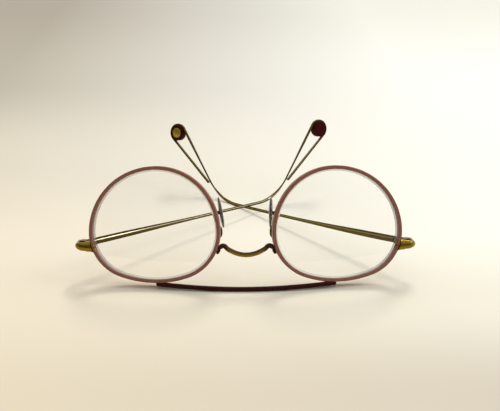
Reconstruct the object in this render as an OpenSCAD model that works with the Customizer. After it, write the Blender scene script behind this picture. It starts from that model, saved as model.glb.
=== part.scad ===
// Round wire eyeglass frame with a brow bar, a saddle bridge and ribbon temples that end in a
// loop round a small drum. It lies upside down, leaning on its brow bar and on one temple's bend,
// half folded, with the left temple crossing over the right one.
// Left and right are as seen from the front, looking along +Y.
// Each piece is drawn in the front's own frame: X across, Y back from the brow bar, Z from the
// brow towards the cheek. stand() then tips that frame onto the table, which is the plane Z = 0.

/* [Rims] */
// Width of a rim over its outer edges
rim_w = 51.8; // [46:0.1:58]
// Height of a rim over its outer edges
rim_h = 45.9; // [40:0.1:52]
// Space between the two rims at the nose
nose_gap = 20.6; // [18:0.1:24]
// Height of the rim's widest level above its brow edge
rim_waist = 19.7; // [17:0.1:22]
// Shift of the brow and cheek points from the rim's middle towards the nose
crown_shift = 0.75; // [0:0.05:1.5]
// Angle where the side arc meets the cheek arc, on the temple's side
cheek_turn = 60; // [50:1:70]
// Angle where the side arc meets the cheek arc, on the nose's side
nose_turn = 33; // [25:1:45]
// Angle where the side arcs meet the brow arcs
brow_turn = 70.5; // [60:0.5:74]
// Width of the rim's front face
rim_face = 1.4; // [1:0.05:2]
// Depth of the rim from front to back
rim_depth = 4; // [3.4:0.1:5]
// Bevel of the rim's long edges
rim_edge = 0.25; // [0.1:0.05:0.35]
// Depth of the groove that holds the lens
groove = 0.5; // [0.3:0.05:0.7]
// Turn of each rim away from the flat front
wrap = 5; // [0:0.5:8]

/* [Lenses] */
// Thickness of a lens
lens_t = 2; // [1.6:0.1:2.6]
// Radius of the lens's dome
dome_r = 120; // [90:1:300]
// Gap between the lens and the rim
lens_gap = 0.03; // [0.01:0.01:0.1]

/* [Brow bar] */
// Diameter of the bar
bar_d = 1.9; // [1.5:0.05:2.6]
// Rise of the bar's ends above its middle
bar_rise = 2.1; // [1:0.1:3]
// How far the bar's ends lie behind its middle
bar_bow = 1.95; // [0.5:0.05:3]
// How far the bar runs past the rims' crowns at each end
bar_past = 0.2; // [0:0.1:2]
// Gap between the bar's centre line and the rim's brow edge
bar_seat = 0.3; // [0.1:0.05:0.6]
// How far the rims' faces lie behind the bar's middle, at the rims' crowns
rim_set = 1.35; // [0.5:0.05:2]
// Depth of the small flat worn on the bar where it stands
bar_flat = 0.12; // [0.05:0.01:0.2]

/* [Bridge] */
// Diameter of the bridge wire
bridge_d = 1.9; // [1.4:0.05:2.4]
// Height of the saddle's middle above the brow bar
saddle_h = 13.5; // [11:0.1:16]
// Rise from the saddle's middle to its shoulders
shoulder_rise = 3.55; // [2:0.05:5]
// Distance from a shoulder to the middle of the nose
shoulder_x = 9.1; // [7:0.1:9.3]
// Length of the bridge's feet along the rims
foot_l = 2.45; // [1.8:0.05:4.5]
// How far the bridge wire lies behind the rims' faces at its feet
bridge_set = 1.3; // [1:0.05:2]
// How far the saddle's middle comes forward of its feet
saddle_out = 0.6; // [0:0.1:2]

/* [End pieces] */
// How far each end piece's outer side lies beyond its rim
end_reach = 5.5; // [4.8:0.1:7]
// Thickness of the end piece's strap
strap_t = 1.34; // [1:0.02:1.6]
// Height of the strap at the rim
strap_h = 4.2; // [3.4:0.1:4.3]
// Height of the strap where its corner starts
strap_bow_h = 3.4; // [3:0.1:4]
// Height of the strap where its corner ends
strap_waist_h = 2.5; // [2.3:0.1:3]
// Height of the strap at the hinge
strap_end_h = 2.9; // [2.8:0.1:3.6]
// Outer radius of the strap's corner
corner_r = 3.1; // [2:0.1:4]
// How far the strap stands proud of the rim's face
strap_proud = 0.2; // [0:0.05:0.4]
// Distance of the closing block's middle from the rim's widest level, towards the brow
lock_drop = 5.65; // [4.1:0.05:7]
// Height of the closing block
lock_h = 4.3; // [4:0.1:5.4]
// Width of the closing block's ear past the rim
ear_w = 2.4; // [2:0.1:2.6]
// Gap between the two halves of the closing block
lock_gap = 0.2; // [0.1:0.05:0.4]
// Diameter of the closing screw
lock_screw_d = 1; // [0.8:0.05:1.2]

/* [Hinges] */
// Gap between the closing block and the hinge barrel behind it
hinge_back = 0.69; // [0.4:0.01:2]
// Height of the hinge above the closing block's middle
hinge_up = 0.9; // [0.3:0.01:1.3]
// Diameter of the hinge barrel
barrel_d = 2.4; // [2.1:0.1:2.6]
// Length of the hinge barrel
barrel_l = 3; // [2.8:0.1:4]
// Length of the temple's knuckle
knuckle_l = 1.16; // [0.9:0.02:1.6]
// Diameter of the hinge screw
pin_d = 1.2; // [0.9:0.05:1.4]
// Radial gap between the screw and the temple's knuckle
pin_gap = 0.04; // [0.02:0.01:0.08]
// Gap between neighbouring knuckles
knuckle_gap = 0.05; // [0.03:0.01:0.1]
// Gap between the barrel and the strap
barrel_gap = 0.06; // [0.04:0.01:0.2]
// Lean of the hinge pin, which drops the opened temples
drop = 10.7; // [6:0.1:14]
// Length of the leaf that carries the temple
leaf_l = 8.2; // [7.4:0.1:10]
// Thickness of the leaf
leaf_t = 0.5; // [0.4:0.05:0.7]
// Distance of the rivet from the pin
rivet_s = 6.3; // [5:0.1:6.8]
// Diameter of the rivet
rivet_d = 0.8; // [0.6:0.05:1]

/* [Temples] */
// Length of a temple from its pin to the bend
temple_l = 94.7; // [86:0.1:100]
// Radius of the bend
bend_r = 22.6; // [19:0.1:28]
// Angle of the bend
bend = 53.2; // [45:0.1:60]
// Length of the straight past the bend
hook_l = 30.2; // [25:0.1:34]
// Thickness of the ribbon
ribbon_t = 0.5; // [0.4:0.05:0.6]
// Height of the ribbon at the hinge
ribbon_root = 2.5; // [2.1:0.05:3]
// Height of the ribbon at the bend
ribbon_bend = 1.2; // [1:0.05:1.5]
// Width of the ribbon at its cut end
ribbon_end = 1.35; // [1:0.05:1.8]
// Distance from the pin at which the ribbon starts to narrow
taper_from = 12; // [8:1:20]
// Length over which the ribbon narrows
taper_l = 50; // [40:1:60]
// Length of the bend before the ribbon starts to twist
twist_from = 5; // [4:0.5:9]
// Twist of the ribbon where the bend ends
lay_turn = 50; // [30:1:65]
// Turn of the loop and the drum about the hook's straight, which faces them to the front
hook_turn = 11; // [0:1:20]
// Angle between the front and the left temple
fold_left = 40.5; // [38:0.1:44]
// Angle between the front and the right temple
fold_right = 44.4; // [42:0.1:48]
// Gap between the two temples where they cross
cross_gap = 0.95; // [0.8:0.05:1.3]
// Sag of the right temple's straight stretch at its middle
sag_right = 0.6; // [0.4:0.05:0.8]

/* [Tips] */
// Radius of the ribbon's loop to its centre line
loop_r = 3.97; // [3.5:0.01:4.4]
// Length of the ribbon that comes back from the loop
return_l = 30.3; // [26:0.1:32]
// Gap between the ribbon and its own cut end
tip_gap = 0.2; // [0.15:0.05:0.8]
// Width of the drum that the loop holds
drum_w = 3; // [2.4:0.1:3.6]
// Gap between the drum and the loop
drum_gap = 0.02; // [0.01:0.01:0.05]
// Diameter of the medallion in the drum's face
medal_d = 5.1; // [3.6:0.1:5.4]
// Depth of the medallion's seat
medal_seat = 0.5; // [0.3:0.1:0.8]

/* [Nose pads] */
// Distance of each pad's pivot from its rim's nose side, away from the nose
pad_in = 1.3; // [1.1:0.1:2.6]
// Distance of the pivots behind the backs of the rims
pad_back = 4.46; // [4.26:0.02:5.8]
// Height of the pivots above the rims' widest level
pad_rise = 7.3; // [6:0.1:8.5]
// Length of a pad
pad_l = 12.5; // [11:0.1:14]
// Width of a pad
pad_w = 6.8; // [6:0.1:7.2]
// Thickness of a pad
pad_t = 1.6; // [1.4:0.05:1.9]
// Turn of the pads' faces towards the back
pad_splay = 5; // [0:1:12]
// Lean of the pads' tops away from the nose
pad_lean = 5.6; // [3:0.1:8]
// Rock of the left pad on its screw
pad_rock_left = 4.2; // [-6:0.1:6]
// Rock of the right pad on its screw
pad_rock_right = -4.2; // [-6:0.1:6]
// Diameter of the pad screw
pad_screw_d = 0.8; // [0.6:0.05:0.9]
// Diameter of the pad arm's wire
arm_d = 1; // [0.8:0.05:1.2]
// Distance of the arm's root from the rim's widest level, towards the brow
arm_drop = 2.3; // [1.5:0.1:4.5]

/* [Hidden] */
$fn = 48;
far = 200;
chord = 1.7;

// Rim outline in the rim's own plane: X across from the frame's middle, Y up from the brow bar
bar_r = bar_d / 2;
rim_brow = bar_rise + bar_seat;
rim_in = nose_gap / 2 / cos(wrap);
rim_out = rim_in + rim_w;
crown_x = (rim_in + rim_out) / 2 - crown_shift;
waist_y = rim_brow + rim_waist;
rim_cheek = rim_brow + rim_h;
face_y = rim_set - crown_x * sin(wrap);
rim_mid = [(rim_in + rim_out) / 2, rim_brow + rim_h / 2];
bar_reach = crown_x + bar_past;
lock_mid = waist_y - lock_drop;

// Radii of the two arcs that join a side point to a crown point: a across, b up, turn between
function arc_k(a, b, turn) = (a - b) / (1 - cos(turn) - sin(turn));
function side_r(a, b, turn) = a + arc_k(a, b, turn) * cos(turn);
function crown_r(a, b, turn) = b - arc_k(a, b, turn) * sin(turn);

reach_out = rim_out - crown_x;
reach_in = crown_x - rim_in;
cheek_b = rim_cheek - waist_y;
brow_side_r = side_r(reach_out, rim_waist, brow_turn);
brow_side_c = [rim_out - brow_side_r, waist_y];

// A quarter of the outline as two arcs: [centre, radius, first angle, last angle]
function side_arc(sx, a, b, turn) =
    let (r = side_r(a, b, turn))
    [[crown_x + sx * (a - r), waist_y], r];
function crown_arc(sy, a, b, turn) =
    let (r = crown_r(a, b, turn))
    [[crown_x, waist_y + sy * (b - r)], r];
function span(arc, first, last) = [arc[0], arc[1], first, last];

outline = [
    span(side_arc(1, reach_out, cheek_b, cheek_turn), 0, cheek_turn),
    span(crown_arc(1, reach_out, cheek_b, cheek_turn), cheek_turn, 90),
    span(crown_arc(1, reach_in, cheek_b, nose_turn), 90, 180 - nose_turn),
    span(side_arc(-1, reach_in, cheek_b, nose_turn), 180 - nose_turn, 180),
    span(side_arc(-1, reach_in, rim_waist, brow_turn), 180, 180 + brow_turn),
    span(crown_arc(-1, reach_in, rim_waist, brow_turn), 180 + brow_turn, 270),
    span(crown_arc(-1, reach_out, rim_waist, brow_turn), 270, 360 - brow_turn)
];

// The closing block takes the rim's place between these two angles of the last side arc
lock_low = lock_mid - lock_h / 2;
lock_high = lock_mid + lock_h / 2;
lock_from = asin((lock_low - waist_y) / brow_side_r);
lock_to = asin((lock_high - waist_y) / brow_side_r);
last_side = [brow_side_c, brow_side_r];
rim_run = concat([span(last_side, 360 + lock_to, 360)], outline, [span(last_side, 360 - brow_turn, 360 + lock_from)]);
lens_run = concat(outline, [span(last_side, 360 - brow_turn, 360)]);

// Points along arcs: [x, y, outward x, outward y], about one chord apart
function along(arc, from = 0) =
    let (n = max(2, round(arc[1] * (arc[3] - arc[2]) * PI / 180 / chord)))
    [for (i = [from : n])
        let (a = arc[2] + (arc[3] - arc[2]) * i / n)
        [arc[0][0] + arc[1] * cos(a), arc[0][1] + arc[1] * sin(a), cos(a), sin(a)]];
function trail(run) = concat(along(run[0]), [for (i = [1 : len(run) - 1]) each along(run[i], 1)]);

// A place in the rim's plane, at a depth behind its face, as a place in the front's frame
function plane(x, y, depth) =
    [x * cos(wrap) - depth * sin(wrap), face_y + x * sin(wrap) + depth * cos(wrap), y];
function inward(p, in, depth) = plane(p[0] - in * p[2], p[1] - in * p[3], depth);

rim_section = [
    [rim_face - rim_edge, 0], [rim_edge, 0], [0, rim_edge], [0, rim_depth - rim_edge],
    [rim_edge, rim_depth], [rim_face - rim_edge, rim_depth], [rim_face, rim_depth - rim_edge],
    [rim_face, rim_depth / 2 + groove], [rim_face - groove, rim_depth / 2],
    [rim_face, rim_depth / 2 - groove], [rim_face, rim_edge]
];

// Lens: rings from the front's middle over the bevelled edge to the back's middle
lens_steps = [0.1, 0.35, 0.6, 0.8, 1];
bevel = groove * 0.9;
lens_ref = (rim_w + rim_h) / 4 - rim_face;
lens_sag = dome_r - sqrt(pow(dome_r, 2) - pow(lens_ref, 2));
lens_top = rim_depth / 2 - lens_t / 2 - lens_sag;
function dome(p) =
    let (d2 = pow(p[0] - rim_mid[0], 2) + pow(p[1] - rim_mid[1], 2))
    lens_top + dome_r - sqrt(pow(dome_r, 2) - d2);
function lens_ring(points, k, back) = [for (p = points)
    let (e = [p[0] - (rim_face + lens_gap) * p[2], p[1] - (rim_face + lens_gap) * p[3]])
    let (q = rim_mid + k * (e - rim_mid))
    plane(q[0], q[1], dome(q) + back)];
function bevel_ring(points, in, depth) = [for (p = points) inward(p, in + lens_gap, depth)];

// Brow bar and bridge
bar_steps = 28;
function bar_point(x) = [x, bar_bow * pow(x / crown_x, 2), bar_rise * pow(x / crown_x, 2)];
bar_line = [for (i = [-bar_steps / 2 : bar_steps / 2]) bar_point(bar_reach * cos(90 - i * 180 / bar_steps))];
bridge_r = bridge_d / 2;
nose_side = side_arc(-1, reach_in, rim_waist, brow_turn);
function rim_side_x(h) = nose_side[0][0] - sqrt(pow(nose_side[1], 2) - pow(h - nose_side[0][1], 2));
function foot_point(h, clear) =
    [rim_side_x(h) * cos(wrap) - clear, face_y + rim_side_x(h) * sin(wrap) + bridge_set, h];
shoulder_h = saddle_h + shoulder_rise;
// Saddle from its middle to a shoulder, as shares of the way across, forward and up
saddle_shape = [[0, 1, 0], [0.4, 0.8, 0.17], [0.75, 0.4, 0.58], [1, 0, 1]];
// Foot below a shoulder, as shares of its length and of the wire's radius sunk into the rim
foot_shape = [[0.4, 0.26], [0.72, 0.1], [1, 0.16]];
bridge_half = concat(
    [for (q = saddle_shape)
        [shoulder_x * q[0], foot_point(saddle_h + shoulder_rise * q[2], 0)[1] - saddle_out * q[1],
            saddle_h + shoulder_rise * q[2]]],
    [for (q = foot_shape) foot_point(shoulder_h - foot_l * q[0], bridge_r * (1 - q[1]))]
);
bridge_knots = concat(
    [for (i = [len(bridge_half) - 1 : -1 : 1]) [-bridge_half[i][0], bridge_half[i][1], bridge_half[i][2]]],
    bridge_half
);

// End piece, closing block and hinge
end_x = rim_out * cos(wrap) + end_reach;
strap_out = strap_t - strap_proud;
barrel_r = barrel_d / 2;
pin_r = pin_d / 2;
pin_x = end_x - strap_t - barrel_gap - barrel_r;
ear_x = brow_side_c[0] + brow_side_r * cos(lock_to) + ear_w;
ear_low = lock_low + 0.55;
ear_root = 0.3;
strap_gap = 0.06;
lock_x = ear_x - 1.15;
lock_y = (strap_out + rim_depth) / 2;
lock_r = lock_screw_d / 2;
lock_head_t = 0.3;
screw_fit = 0.02;
slot_w = 0.24;
hinge_h = lock_mid + hinge_up;
hinge_y = plane(ear_x, 0, rim_depth)[1] + hinge_back + barrel_r;
leg_x = end_x - strap_t / 2;
bow_r = corner_r - strap_t / 2;
bow_turn = 90 - wrap;
front_root_x = brow_side_c[0] + brow_side_r * cos(lock_from) - rim_face / 2;
front_root = plane(front_root_x, 0, strap_t / 2 - strap_proud);
front_start = [front_root[0], front_root[1]];
front_end_x = leg_x - bow_r * (1 - cos(bow_turn));
front_end_y = front_start[1] + (front_end_x - front_start[0]) * tan(wrap);
front_run = [front_end_x, front_end_y] - front_start;
bow_c = [leg_x - bow_r, front_end_y + bow_r * cos(wrap)];
strap_tip = hinge_y + barrel_r;
strap_edge = strap_t / 3;
front_steps = 3;
bow_steps = 8;
leg_steps = 4;
bow_from = 0.3;
bow_to = 0.55;
head_r = barrel_r * 0.8;
head_t = 0.4;
head_slot = 0.25;

// Temples
root_s = barrel_r + 0.2;
ribbon_edge = 0.12;
straight_l = temple_l - root_s;
function ease(u) =
    let (v = min(1, max(0, u)))
    v * v * (3 - 2 * v);
function ribbon_w(s) = ribbon_root + (ribbon_bend - ribbon_root) * ease((s - taper_from) / taper_l);
function dip(sag, s) = 4 * sag * (s - root_s) * (temple_l - s) / pow(straight_l, 2);
function dip_turn(sag, s) = atan(4 * sag * (2 * s - root_s - temple_l) / pow(straight_l, 2));
cross_left = 2 * pin_x * sin(fold_right) / sin(fold_left + fold_right);
cross_right = 2 * pin_x * sin(fold_left) / sin(fold_left + fold_right);
cross_h = (ribbon_w(cross_left) + ribbon_w(cross_right)) / 2 + cross_gap;
lift = asin((cross_h - dip(sag_right, cross_right)) / (cross_left + cross_right));
straight_steps = 14;
bend_steps = 24;
hook_steps = 6;
loop_steps = 26;
lay_half = (ribbon_bend * cos(lay_turn + hook_turn) + ribbon_t * sin(lay_turn + hook_turn)) / 2;
tip_off = ribbon_t / 2 + lay_half + tip_gap;
closing = atan2(loop_r, return_l) + asin((loop_r - tip_off) / norm([loop_r, return_l]));
bend_end = [temple_l + bend_r * sin(bend), bend_r * (1 - cos(bend))];
hook_end = bend_end + hook_l * [cos(bend), sin(bend)];
drum_c = hook_end + loop_r * [sin(bend), -cos(bend)];
loop_end_turn = bend - 180 - closing;
loop_end = drum_c + loop_r * [-sin(loop_end_turn), cos(loop_end_turn)];
tip_end = loop_end + return_l * [cos(loop_end_turn), sin(loop_end_turn)];
rest_l = bend_r * bend * PI / 180 + hook_l + loop_r * (180 + closing) * PI / 180 + return_l;
drum_r = loop_r - ribbon_t / 2 - drum_gap;

// Twist of the ribbon over the bend and on over the hook's straight, up to the turned loop's
function bend_l(a) = bend_r * a * PI / 180;
function twist(l) =
    lay_turn * ease((l - twist_from) / (bend_l(bend) - twist_from))
    + (90 - hook_turn - lay_turn) * ease((l - bend_l(bend)) / hook_l);
function hook_w(l) = ribbon_bend + (ribbon_end - ribbon_bend) * l / rest_l;
function loop_l(a) = bend_l(bend) + hook_l + loop_r * (bend - a) * PI / 180;

// Stations of the ribbon: [along, up, heading, twist, width, turned about the hook's straight]
function ribbon_line(sag) = concat(
    [for (i = [0 : straight_steps])
        let (s = root_s + straight_l * i / straight_steps)
        [s, -dip(sag, s), dip_turn(sag, s), 0, ribbon_w(s), 0]],
    [for (i = [1 : bend_steps])
        let (a = bend * i / bend_steps)
        [temple_l + bend_r * sin(a), bend_r * (1 - cos(a)), a, twist(bend_l(a)), hook_w(bend_l(a)), 0]],
    [for (i = [1 : hook_steps - 1])
        let (l = hook_l * i / hook_steps)
        [bend_end[0] + l * cos(bend), bend_end[1] + l * sin(bend), bend, twist(bend_l(bend) + l),
            hook_w(bend_l(bend) + l), 0]],
    [for (i = [0 : loop_steps])
        let (a = bend - (180 + closing) * i / loop_steps)
        [drum_c[0] - loop_r * sin(a), drum_c[1] + loop_r * cos(a), a, 90, hook_w(loop_l(a)), hook_turn]],
    [[tip_end[0], tip_end[1], loop_end_turn, 90, ribbon_end, hook_turn]]
);
function about_hook(v, turn) =
    let (h = [cos(bend), 0, sin(bend)])
    v * cos(turn) + cross(h, v) * sin(turn) + h * (h * v) * (1 - cos(turn));

// Lean of the front at which the right temple's bend just touches the table
bar_z = bar_r - bar_flat;
function tipped(y, z, lean) = z * cos(lean) - y * sin(lean);
function bend_z(lean) =
    let (along_y = sin(fold_right) * cos(drop), along_z = sin(fold_right) * sin(drop))
    let (t0 = tipped(along_y, along_z, lean), a0 = tipped(-sin(drop), cos(drop), lean))
    let (tz = t0 * cos(lift) - a0 * sin(lift), az = a0 * cos(lift) + t0 * sin(lift))
    bar_z + tipped(hinge_y, hinge_h, lean) + temple_l * tz + bend_r * az
        - (bend_r + ribbon_bend / 2) * norm([tz, az])
        - (ribbon_t / 2 - ribbon_edge) * sqrt(1 - tz * tz - az * az);
function settle(low, high, n) =
    n == 0 ? (low + high) / 2
    : let (half = (low + high) / 2)
    bend_z(half) > 0 ? settle(half, high, n - 1) : settle(low, half, n - 1);
lean = settle(5, 45, 24);

// Nose pads
function nose_back(x) = plane(x, 0, rim_depth)[1];
pad_x = nose_gap / 2 + pad_in;
pad_y = nose_back(rim_in) + pad_back;
pad_h = waist_y + pad_rise;
pad_off = -pad_t / 2 - 0.85;
plate_t = pad_t * 0.36;
plate_w = pad_w * 0.6;
plate_l = pad_l * 0.92;
tab_t = 0.9;
tab_r = 0.6;
fork_gap = 0.05;
fork_wall = 0.45;
fork_r = 0.75;
fork_h = 3.1;
fork_back = 1.15;
fork_in = tab_t / 2 + fork_gap;
fork_out = fork_in + fork_wall;
pad_screw_r = pad_screw_d / 2;
pad_screw_gap = 0.04;
pad_slot = 0.16;
pad_rings = 16;
pad_sides = 24;
arm_r = arm_d / 2;

// The arm leaves the rim's back, swings round the rim and rises to the fork
arm_root = waist_y - arm_drop;
arm_x = rim_side_x(arm_root) * cos(wrap);
// Knots near the root: [away from the nose, behind the rim's back, up]
root_shape = [[0.75, -0.3, 0], [0.5, 0.7, 0.05], [-0.25, 1.6, 0.6], [-0.6, 1.75, 1.5]];
// Knots near the fork: [away from the nose, back, up], from the pivot
fork_shape = [[-1.7, -3, -6.2], [-0.85, -3, -4.7], [0.35, -1.9, -3], [0.8, -0.7, -2], [0.95, -0.1, -1.4]];
arm_knots = concat(
    [for (q = root_shape) [arm_x + q[0], nose_back(arm_x + q[0]) + q[1], arm_root + q[2]]],
    [for (q = fork_shape) [pad_x, pad_y, pad_h] + q]
);

// A solid skinned over rings that each list their points the same way round
module skin(rings) {
    n = len(rings[0]);
    m = len(rings);
    polyhedron(
        points = [for (r = rings) each r],
        faces = concat(
            [for (i = [0 : m - 2], j = [0 : n - 1])
                let (k = (j + 1) % n)
                each [[i * n + j, (i + 1) * n + j, (i + 1) * n + k], [i * n + j, (i + 1) * n + k, i * n + k]]],
            [[for (j = [0 : n - 1]) j], [for (j = [n - 1 : -1 : 0]) (m - 1) * n + j]]
        ),
        convexity = 6
    );
}

// A smooth line through knots: Catmull-Rom, a number of steps to each stretch
function knot(k, i) = k[max(0, min(len(k) - 1, i))];
function smooth_point(k, i, u) =
    0.5 * (2 * knot(k, i) + u * (knot(k, i + 1) - knot(k, i - 1))
        + u * u * (2 * knot(k, i - 1) - 5 * knot(k, i) + 4 * knot(k, i + 1) - knot(k, i + 2))
        + u * u * u * (3 * (knot(k, i) - knot(k, i + 1)) + knot(k, i + 2) - knot(k, i - 1)));
function smooth(k, steps) = concat(
    [for (i = [0 : len(k) - 2], s = [0 : steps - 1]) smooth_point(k, i, s / steps)],
    [k[len(k) - 1]]
);
function unit(v) = v / norm(v);
function heading(line, i) = unit(line[min(len(line) - 1, i + 1)] - line[max(0, i - 1)]);

// A round wire along a line of points; side is never parallel to the line
module wire(line, r, sides, side) {
    skin([for (i = [0 : len(line) - 1])
        let (t = heading(line, i))
        let (u = unit(cross(t, side)))
        let (v = cross(t, u))
        [for (j = [0 : sides - 1]) line[i] + r * (cos(360 * j / sides) * u + sin(360 * j / sides) * v)]]);
}

// The front's frame, tipped onto the table, and one side of it or its mirror image
module stand() {
    translate([0, 0, bar_z])
        rotate([-lean, 0, 0])
            children();
}
module on_side(side) {
    mirror([side < 0 ? 1 : 0, 0, 0])
        children();
}
module placed(side) {
    stand()
        on_side(side)
            children();
}

// The rim's plane, with Z towards the front, and the hinge's frame, with Z along the pin
module rim_plane() {
    translate([0, face_y, 0])
        rotate([0, 0, wrap])
            rotate([90, 0, 0])
                children();
}
module hinge_frame() {
    translate([pin_x, hinge_y, hinge_h])
        rotate([drop, 0, 0])
            children();
}

// A rod from y0 to y1 along the rim plane's Y axis
module rod(x, y0, y1, depth, r) {
    translate([x, y0, -depth])
        rotate([-90, 0, 0])
            cylinder(h = y1 - y0, r = r);
}

// Rims and lenses
module rim(side) {
    color([0.45, 0.26, 0.22])
        placed(side)
            skin([for (p = trail(rim_run)) [for (q = rim_section) inward(p, q[0], q[1])]]);
}

module lens(side) {
    points = trail(lens_run);
    loop = [for (i = [len(points) - 1 : -1 : 1]) points[i]];
    color([0.85, 0.9, 0.9, 0.4])
        placed(side)
            skin(concat(
                [for (k = lens_steps) lens_ring(loop, k, 0)],
                [bevel_ring(loop, rim_face, rim_depth / 2 - bevel),
                    bevel_ring(loop, rim_face - bevel, rim_depth / 2),
                    bevel_ring(loop, rim_face, rim_depth / 2 + bevel)],
                [for (i = [len(lens_steps) - 1 : -1 : 0]) lens_ring(loop, lens_steps[i], lens_t)]
            ));
}

// Brow bar: one arched rod that carries both rims, cut to their edges and flat where it stands
module rim_brow_cut() {
    for (arc = [outline[5], outline[6]])
        rim_plane()
            translate([arc[0][0], arc[0][1], -rim_depth - 1])
                cylinder(h = rim_depth + 6, r = arc[1], $fn = 180);
}
module brow_bar() {
    color([0.3, 0.1, 0.12])
        difference() {
            stand()
                difference() {
                    wire(bar_line, bar_r, 16, [0, 0, 1]);
                    for (side = [-1, 1])
                        on_side(side)
                            intersection() {
                                rim_brow_cut();
                                translate([bar_reach - 16, -10, -10])
                                    cube([30, 30, 30]);
                            }
                }
            translate([-far / 2, -far / 2, -far])
                cube(far);
        }
}

// Saddle bridge: a wire whose feet lie along the rims' nose sides
module bridge() {
    color([0.55, 0.36, 0.2])
        stand()
            difference() {
                wire(smooth(bridge_knots, 5), bridge_r, 14, [0, 1, 0]);
                for (side = [-1, 1])
                    on_side(side)
                        rim_plane()
                            translate([nose_side[0][0], nose_side[0][1], -rim_depth])
                                cylinder(h = rim_depth + 6, r = nose_side[1], $fn = 180);
            }
}

// End piece: a strap from the closing block round the corner to the hinge
function strap_ring(x, y, nx, ny, h, tall) =
    let (t = strap_t / 2, z = tall / 2, c = strap_edge)
    [for (q = [[-t, -z + c], [-t + c, -z], [t - c, -z], [t, -z + c], [t, z - c], [t - c, z], [-t + c, z], [-t, z - c]])
        [x + q[0] * nx, y + q[0] * ny, h + q[1]]];
// Height of the strap's middle after a share of its way to the hinge
function strap_level(share) = lock_mid + hinge_up * share;
function blend(a, b, u) = a + (b - a) * ease(u);
module end_piece(side) {
    color([0.8, 0.68, 0.42])
        placed(side)
            difference() {
                skin(concat(
                    [for (i = [0 : front_steps - 1])
                        let (u = i / front_steps, p = front_start + u * front_run)
                        strap_ring(p[0], p[1], sin(wrap), -cos(wrap), strap_level(bow_from * u),
                            blend(strap_h, strap_bow_h, u))],
                    [for (i = [0 : bow_steps])
                        let (u = i / bow_steps, a = -90 + wrap + bow_turn * u)
                        strap_ring(bow_c[0] + bow_r * cos(a), bow_c[1] + bow_r * sin(a), cos(a), sin(a),
                            strap_level(bow_from + (bow_to - bow_from) * u),
                            blend(strap_bow_h, strap_waist_h, u))],
                    [for (i = [1 : leg_steps])
                        let (u = i / leg_steps)
                        strap_ring(leg_x, bow_c[1] + (strap_tip - bow_c[1]) * u, 1, 0,
                            strap_level(bow_to + (1 - bow_to) * u), blend(strap_waist_h, strap_end_h, u))]
                ));
                rim_plane()
                    translate([brow_side_c[0], brow_side_c[1], -rim_depth])
                        cylinder(h = rim_depth + 5, r = brow_side_r, $fn = 180);
            }
}

// Closing block: two halves in place of a short stretch of the rim, with an ear for the screw
module closing_block(front_gap) {
    translate([brow_side_c[0], brow_side_c[1], 0])
        rotate([0, 0, lock_from])
            rotate_extrude(angle = lock_to - lock_from, $fn = 180)
                polygon([for (q = rim_section) [brow_side_r - q[0], -q[1]]]);
    difference() {
        translate([brow_side_c[0], ear_low, -rim_depth])
            cube([ear_x - brow_side_c[0], lock_high - ear_low, rim_depth - strap_out - front_gap]);
        translate([brow_side_c[0], brow_side_c[1], -rim_depth - 1])
            cylinder(h = rim_depth + 2, r = brow_side_r - ear_root, $fn = 180);
    }
}
module lock_half(side, cheek) {
    split = cheek ? lock_mid + lock_gap / 2 : lock_mid - lock_gap / 2 - far;
    color([0.8, 0.68, 0.42])
        placed(side)
            rim_plane()
                difference() {
                    intersection() {
                        closing_block(cheek ? 0 : strap_gap);
                        translate([0, split, -far / 2])
                            cube(far);
                    }
                    rod(lock_x, lock_low - 1, lock_high - head_t, lock_y, lock_r + screw_fit);
                }
}
module lock_screw(side) {
    color([0.75, 0.65, 0.42])
        placed(side)
            rim_plane()
                difference() {
                    union() {
                        rod(lock_x, ear_low - 0.1, lock_high - head_t - screw_fit, lock_y, lock_r);
                        rod(lock_x, ear_low - lock_head_t, ear_low, lock_y, lock_r * 1.7);
                    }
                    translate([lock_x - lock_screw_d, ear_low - lock_head_t - 0.01, -lock_y - slot_w / 2])
                        cube([2 * lock_screw_d, head_slot, slot_w]);
                }
}

// Hinge: two knuckles on the strap, one on the temple's leaf, and a screw through all three
module knuckle(z0, z1) {
    translate([0, 0, z0])
        cylinder(h = z1 - z0, r = barrel_r);
}
module hinge(side) {
    inner = knuckle_l / 2 + knuckle_gap;
    color([0.78, 0.66, 0.4])
        placed(side)
            hinge_frame()
                difference() {
                    for (z = [-barrel_l / 2, inner])
                        union() {
                            knuckle(z, z + barrel_l / 2 - inner);
                            translate([0, -barrel_r, z])
                                cube([barrel_r + barrel_gap, barrel_r + 0.6, barrel_l / 2 - inner]);
                        }
                    translate([0, 0, -barrel_l])
                        cylinder(h = 2 * barrel_l, r = pin_r + 0.01);
                }
}
module hinge_screw(side) {
    color([0.72, 0.62, 0.4])
        placed(side)
            hinge_frame()
                difference() {
                    union() {
                        translate([0, 0, -barrel_l / 2])
                            cylinder(h = barrel_l, r = pin_r);
                        translate([0, 0, -barrel_l / 2 - head_t])
                            cylinder(h = head_t, r = head_r);
                    }
                    translate([-barrel_r, -slot_w / 2, -barrel_l / 2 - head_t - 0.01])
                        cube([barrel_d, slot_w, head_slot]);
                }
}

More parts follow.
